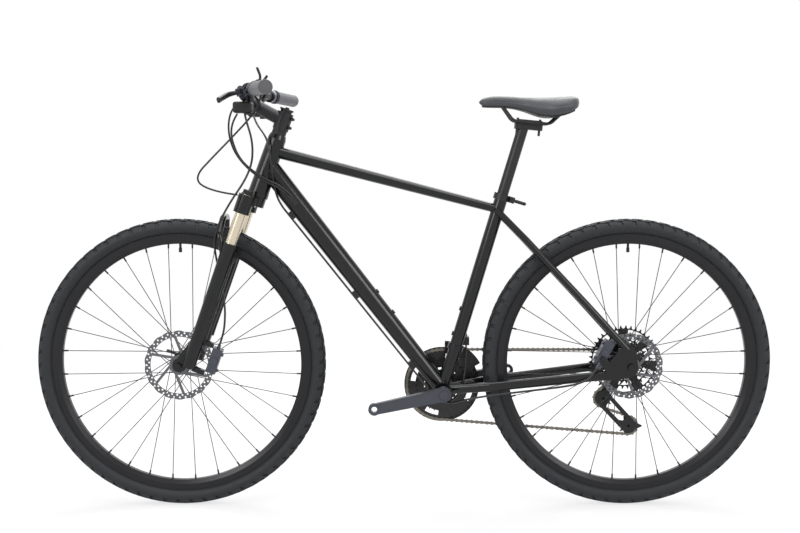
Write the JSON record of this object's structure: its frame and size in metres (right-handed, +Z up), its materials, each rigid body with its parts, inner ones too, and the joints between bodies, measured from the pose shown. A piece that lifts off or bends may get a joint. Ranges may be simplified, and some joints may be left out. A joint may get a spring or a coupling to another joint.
{
  "type": "hybrid bicycle",
  "caption": "Hybrid bike with a diamond frame, suspension fork, flat bar, disc brakes, chain drive with derailleurs, wire-spoked wheels and a padded saddle, standing without pedals",
  "frame": {"origin": "on the ground, midway between the two tyre contacts, in the middle plane", "axes": "+Z up; the bike faces -X; +Y is its right, chain side"},
  "size_m": [1.7998, 0.6714, 1.0658],
  "materials": {
    "frame_paint": "satin black paint",
    "fitting_black": "black anodised",
    "dark_alloy": "dark anodised",
    "caliper_grey": "blue-grey paint",
    "rotor_steel": "brushed",
    "chain_steel": "oiled",
    "ring_black": "blackened",
    "spoke_steel": "dark grey",
    "stanchion_gold": "champagne anodised",
    "tyre_rubber": "matte",
    "grip_rubber": "matte grey",
    "saddle_skin": "dark grey, soft sheen",
    "plastic_black": "matte",
    "cable_black": "smooth",
    "rail_steel": "black"
  },
  "bodies": {
    "frame": {"head_tube": "frame_paint", "top_tube": "frame_paint", "down_tube": "frame_paint", "seat_tube": "frame_paint", "bottom_bracket_shell": "frame_paint", "chainstays": "frame_paint", "seatstays": "frame_paint", "dropouts": "frame_paint", "frame_bosses": "fitting_black", "seat_clamp": "fitting_black", "rear_caliper": "caliper_grey", "rear_axle": "dark_alloy", "front_derailleur": "dark_alloy", "rear_derailleur": "fitting_black", "frame_cables": "cable_black", "steering_cables": "cable_black", "chain": "chain_steel"},
    "clamp_lever": {"seat_clamp_lever": "fitting_black"},
    "saddle": {"seatpost": "fitting_black", "saddle_rails": "rail_steel", "saddle_base": "plastic_black", "saddle_cover": "saddle_skin"},
    "changer_cage": {"front_derailleur_cage": "rotor_steel"},
    "chain_cage": {"derailleur_cage": "fitting_black"},
    "guide_pulley": {"upper_pulley": "plastic_black"},
    "tension_pulley": {"lower_pulley": "plastic_black"},
    "crank": {"left_crank_arm": "fitting_black", "right_crank_arm": "fitting_black", "chainrings": "ring_black", "chain_guard": "plastic_black"},
    "cassette": {"cassette": "ring_black"},
    "rear_wheel": {"rear_tyre": "tyre_rubber", "rear_rim": "dark_alloy", "rear_spokes": "spoke_steel", "rear_hub": "fitting_black", "rear_rotor": "rotor_steel"},
    "steering": {"fork_crown": "frame_paint", "fork_stanchions": "stanchion_gold", "headset_spacers": "fitting_black", "stem": "fitting_black", "stem_faceplate": "fitting_black", "handlebar": "fitting_black", "grips": "grip_rubber", "brake_lever_bodies": "fitting_black", "bar_controls": "plastic_black", "lockout_cable": "cable_black"},
    "left_lever": {"left_brake_lever": "dark_alloy"},
    "right_lever": {"right_brake_lever": "dark_alloy"},
    "left_trigger": {"left_shift_trigger": "plastic_black"},
    "right_trigger": {"right_shift_trigger": "plastic_black"},
    "lockout": {"lockout_lever": "plastic_black"},
    "lowers": {"fork_lowers": "frame_paint", "front_caliper": "caliper_grey", "front_axle": "dark_alloy", "front_brake_hose": "cable_black"},
    "front_wheel": {"front_tyre": "tyre_rubber", "front_rim": "dark_alloy", "front_spokes": "spoke_steel", "front_hub": "fitting_black", "front_rotor": "rotor_steel"}
  },
  "joints": [
    {"name": "steering_turn", "type": "hinge", "parent": "frame", "child": "steering", "pos_m": [-0.3076, 0, 0.9017], "axis": [0.3338, 0, 0.9426], "range_deg": [-60, 60], "deforming": ["steering_cables"]},
    {"name": "fork_travel", "type": "slide", "parent": "steering", "child": "lowers", "axis": [0.3338, 0, 0.9426], "range_m": [0, 0.063], "stiffness_N_per_m": 6000, "springref_m": -0.02, "deforming": ["front_brake_hose"]},
    {"name": "front_wheel_spin", "type": "hinge", "parent": "lowers", "child": "front_wheel", "pos_m": [-0.546, 0, 0.354], "axis": [0, -1, 0], "continuous": true},
    {"name": "rear_wheel_spin", "type": "hinge", "parent": "frame", "child": "rear_wheel", "pos_m": [0.546, 0, 0.354], "axis": [0, -1, 0], "continuous": true},
    {"name": "crank_spin", "type": "hinge", "parent": "frame", "child": "crank", "pos_m": [0.0952, 0, 0.2878], "axis": [0, -1, 0], "continuous": true, "deforming": ["chain"]},
    {"name": "cassette_spin", "type": "hinge", "parent": "frame", "child": "cassette", "pos_m": [0.546, 0, 0.354], "axis": [0, -1, 0], "continuous": true},
    {"name": "cage_swing", "type": "hinge", "parent": "frame", "child": "chain_cage", "pos_m": [0.501, 0.058, 0.2528], "axis": [0, 1, 0], "range_deg": [0, 40], "stiffness_Nm_per_rad": 0.6, "springref_deg": -34.38},
    {"name": "guide_pulley_spin", "type": "hinge", "parent": "chain_cage", "child": "guide_pulley", "pos_m": [0.501, 0.058, 0.2528], "axis": [0, -1, 0], "continuous": true},
    {"name": "tension_pulley_spin", "type": "hinge", "parent": "chain_cage", "child": "tension_pulley", "pos_m": [0.56562, 0.058, 0.18316], "axis": [0, -1, 0], "continuous": true},
    {"name": "changer_swing", "type": "hinge", "parent": "frame", "child": "changer_cage", "pos_m": [0.14, 0.056, 0.413], "axis": [1, 0, 0], "range_deg": [-12, 0]},
    {"name": "saddle_height", "type": "slide", "parent": "frame", "child": "saddle", "axis": [0.2874, 0, 0.9578], "range_m": [-0.08, 0.05]},
    {"name": "clamp_lever_turn", "type": "hinge", "parent": "frame", "child": "clamp_lever", "pos_m": [0.26192, 0, 0.75301], "axis": [0, -1, 0], "range_deg": [0, 45]},
    {"name": "left_brake_pull", "type": "hinge", "parent": "steering", "child": "left_lever", "pos_m": [-0.373, -0.19, 1.003], "axis": [-0.2756, 0, 0.9613], "range_deg": [0, 24], "stiffness_Nm_per_rad": 1.5, "springref_deg": -8.59},
    {"name": "right_brake_pull", "type": "hinge", "parent": "steering", "child": "right_lever", "pos_m": [-0.373, 0.19, 1.003], "axis": [0.2756, 0, -0.9613], "range_deg": [0, 24], "stiffness_Nm_per_rad": 1.5, "springref_deg": -8.59},
    {"name": "left_shift_push", "type": "hinge", "parent": "steering", "child": "left_trigger", "pos_m": [-0.358, -0.147, 0.9556], "axis": [0, 0, -1], "range_deg": [0, 28], "stiffness_Nm_per_rad": 0.4, "springref_deg": -11.46},
    {"name": "right_shift_push", "type": "hinge", "parent": "steering", "child": "right_trigger", "pos_m": [-0.358, 0.147, 0.9556], "axis": [0, 0, 1], "range_deg": [0, 28], "stiffness_Nm_per_rad": 0.4, "springref_deg": -11.46},
    {"name": "lockout_turn", "type": "hinge", "parent": "steering", "child": "lockout", "pos_m": [-0.34, -0.088, 1.026], "axis": [0, -1, 0], "range_deg": [0, 35]}
  ],
  "couplings": [
    {"joint": "cassette_spin", "follows": "crank_spin", "ratio": 4},
    {"joint": "guide_pulley_spin", "follows": "crank_spin", "ratio": -4},
    {"joint": "tension_pulley_spin", "follows": "crank_spin", "ratio": 4}
  ]
}
